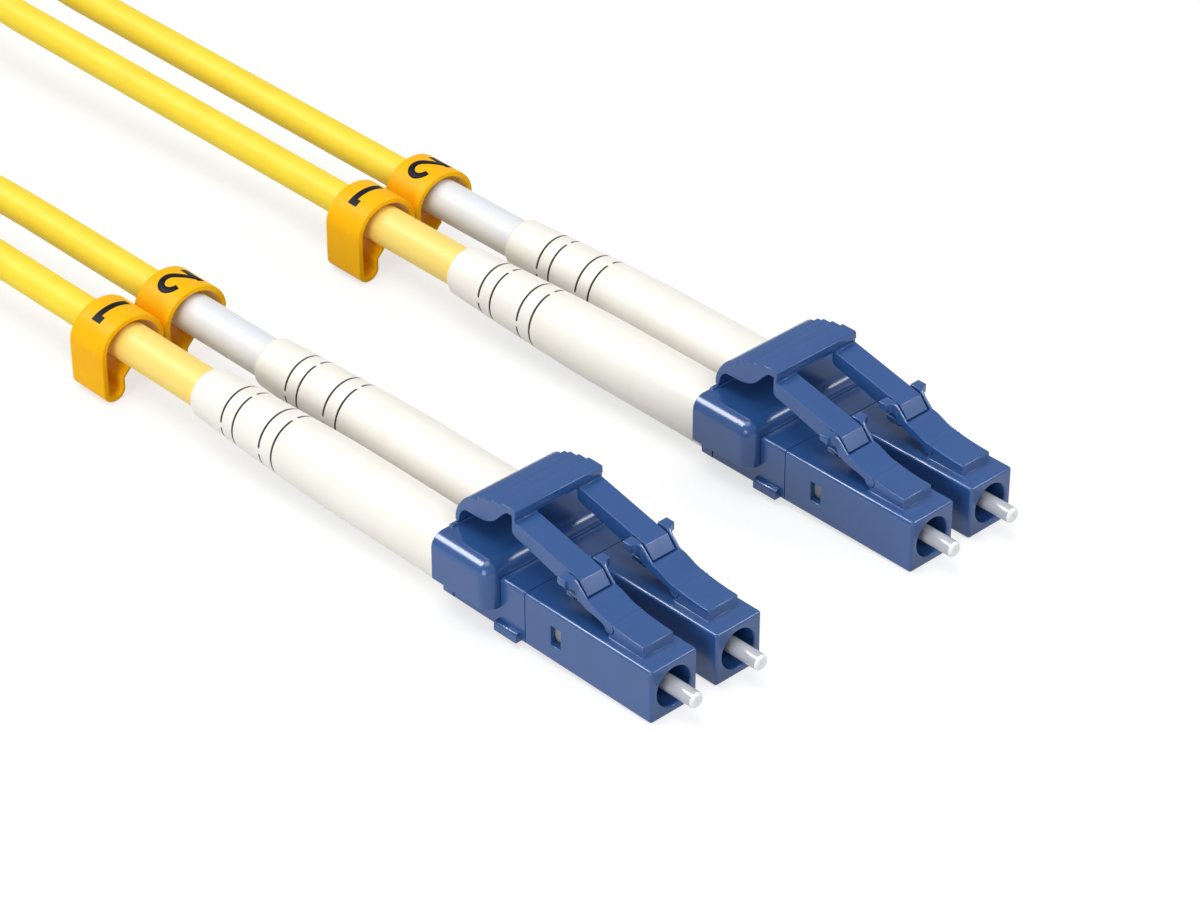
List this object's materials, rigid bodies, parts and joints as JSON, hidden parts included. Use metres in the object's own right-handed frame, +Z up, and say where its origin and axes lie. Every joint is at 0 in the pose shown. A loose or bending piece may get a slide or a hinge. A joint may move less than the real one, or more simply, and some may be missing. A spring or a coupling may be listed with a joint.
{
  "type": "fibre optic patch cable",
  "caption": "Duplex fibre optic patch cable with a latching plug pair at each end, bridge trigger, tapered boots, number tags and coiled spare cable.",
  "frame": {"origin": "on the floor under the middle of the two plug pairs, their boots and number tags, leaving out the cable", "axes": "+Z up, the plugs' noses point along -Y, their cables leave along +Y, end a is on the -X side and end b on the +X side"},
  "size_m": [0.0476, 0.2045, 0.0112],
  "materials": {
    "plug_blue": "injection moulded, fine satin",
    "ferrule_zirconia": "polished ceramic",
    "flange_metal": "nickel plated brass",
    "spring_steel": "drawn wire",
    "fibre_buffer": "extruded, satin",
    "crimp_metal": "crimped, satin",
    "boot_white": "moulded soft plastic, satin",
    "sleeve_white": "thin tube, satin",
    "sleeve_yellow": "thin tube, satin",
    "tag_orange": "moulded, satin",
    "cable_yellow": "extruded jacket, satin"
  },
  "bodies": {
    "root": {"end_a_plug_housing_1": "plug_blue", "end_a_ferrule_spring_1": "spring_steel", "end_a_rear_body_1": "plug_blue", "end_a_crimp_sleeve_1": "crimp_metal", "end_a_boot_1": "boot_white", "end_a_marking_sleeve_1": "sleeve_yellow", "end_a_number_tag_1": "tag_orange", "end_a_plug_housing_2": "plug_blue", "end_a_ferrule_spring_2": "spring_steel", "end_a_rear_body_2": "plug_blue", "end_a_crimp_sleeve_2": "crimp_metal", "end_a_boot_2": "boot_white", "end_a_marking_sleeve_2": "sleeve_white", "end_a_number_tag_2": "tag_orange", "end_a_duplex_clip": "plug_blue", "end_b_plug_housing_1": "plug_blue", "end_b_ferrule_spring_1": "spring_steel", "end_b_rear_body_1": "plug_blue", "end_b_crimp_sleeve_1": "crimp_metal", "end_b_boot_1": "boot_white", "end_b_marking_sleeve_1": "sleeve_yellow", "end_b_number_tag_1": "tag_orange", "end_b_plug_housing_2": "plug_blue", "end_b_ferrule_spring_2": "spring_steel", "end_b_rear_body_2": "plug_blue", "end_b_crimp_sleeve_2": "crimp_metal", "end_b_boot_2": "boot_white", "end_b_marking_sleeve_2": "sleeve_white", "end_b_number_tag_2": "tag_orange", "end_b_duplex_clip": "plug_blue", "strand_1_lead_a": "cable_yellow", "strand_1_coil": "cable_yellow", "strand_1_lead_b": "cable_yellow", "strand_2_lead_a": "cable_yellow", "strand_2_coil": "cable_yellow", "strand_2_lead_b": "cable_yellow"},
    "end_a_trigger": {"end_a_trigger": "plug_blue"},
    "end_a_latch_1": {"end_a_latch_1": "plug_blue"},
    "end_a_ferrule_1": {"end_a_ferrule_1": "ferrule_zirconia", "end_a_ferrule_flange_1": "flange_metal", "end_a_buffered_fibre_1": "fibre_buffer"},
    "end_a_latch_2": {"end_a_latch_2": "plug_blue"},
    "end_a_ferrule_2": {"end_a_ferrule_2": "ferrule_zirconia", "end_a_ferrule_flange_2": "flange_metal", "end_a_buffered_fibre_2": "fibre_buffer"},
    "end_b_trigger": {"end_b_trigger": "plug_blue"},
    "end_b_latch_1": {"end_b_latch_1": "plug_blue"},
    "end_b_ferrule_1": {"end_b_ferrule_1": "ferrule_zirconia", "end_b_ferrule_flange_1": "flange_metal", "end_b_buffered_fibre_1": "fibre_buffer"},
    "end_b_latch_2": {"end_b_latch_2": "plug_blue"},
    "end_b_ferrule_2": {"end_b_ferrule_2": "ferrule_zirconia", "end_b_ferrule_flange_2": "flange_metal", "end_b_buffered_fibre_2": "fibre_buffer"}
  },
  "joints": [
    {"name": "end_a_trigger_press", "type": "hinge", "parent": "root", "child": "end_a_trigger", "pos_m": [-0.013, -0.01043, 0.00677], "axis": [1, 0, 0], "range_deg": [0, 2.5], "stiffness_Nm_per_rad": 0.018},
    {"name": "end_a_latch_1_flex", "type": "hinge", "parent": "root", "child": "end_a_latch_1", "pos_m": [-0.01613, -0.02644, 0.00534], "axis": [1, 0, 0], "range_deg": [-15, 0], "stiffness_Nm_per_rad": 0.0035},
    {"name": "end_a_ferrule_1_slide", "type": "slide", "parent": "root", "child": "end_a_ferrule_1", "axis": [0, 0.9994, 0.0357], "range_m": [0, 0.0008], "stiffness_N_per_m": 500, "deforming": ["end_a_ferrule_spring_1"]},
    {"name": "end_a_latch_2_flex", "type": "hinge", "parent": "root", "child": "end_a_latch_2", "pos_m": [-0.00988, -0.02644, 0.00534], "axis": [1, 0, 0], "range_deg": [-15, 0], "stiffness_Nm_per_rad": 0.0035},
    {"name": "end_a_ferrule_2_slide", "type": "slide", "parent": "root", "child": "end_a_ferrule_2", "axis": [0, 0.9994, 0.0357], "range_m": [0, 0.0008], "stiffness_N_per_m": 500, "deforming": ["end_a_ferrule_spring_2"]},
    {"name": "end_b_trigger_press", "type": "hinge", "parent": "root", "child": "end_b_trigger", "pos_m": [0.013, -0.01043, 0.00677], "axis": [1, 0, 0], "range_deg": [0, 2.5], "stiffness_Nm_per_rad": 0.018},
    {"name": "end_b_latch_1_flex", "type": "hinge", "parent": "root", "child": "end_b_latch_1", "pos_m": [0.00988, -0.02644, 0.00534], "axis": [1, 0, 0], "range_deg": [-15, 0], "stiffness_Nm_per_rad": 0.0035},
    {"name": "end_b_ferrule_1_slide", "type": "slide", "parent": "root", "child": "end_b_ferrule_1", "axis": [0, 0.9994, 0.0357], "range_m": [0, 0.0008], "stiffness_N_per_m": 500, "deforming": ["end_b_ferrule_spring_1"]},
    {"name": "end_b_latch_2_flex", "type": "hinge", "parent": "root", "child": "end_b_latch_2", "pos_m": [0.01613, -0.02644, 0.00534], "axis": [1, 0, 0], "range_deg": [-15, 0], "stiffness_Nm_per_rad": 0.0035},
    {"name": "end_b_ferrule_2_slide", "type": "slide", "parent": "root", "child": "end_b_ferrule_2", "axis": [0, 0.9994, 0.0357], "range_m": [0, 0.0008], "stiffness_N_per_m": 500, "deforming": ["end_b_ferrule_spring_2"]}
  ],
  "couplings": [
    {"joint": "end_a_latch_1_flex", "follows": "end_a_trigger_press", "ratio": -6},
    {"joint": "end_a_latch_2_flex", "follows": "end_a_trigger_press", "ratio": -6},
    {"joint": "end_b_latch_1_flex", "follows": "end_b_trigger_press", "ratio": -6},
    {"joint": "end_b_latch_2_flex", "follows": "end_b_trigger_press", "ratio": -6}
  ]
}
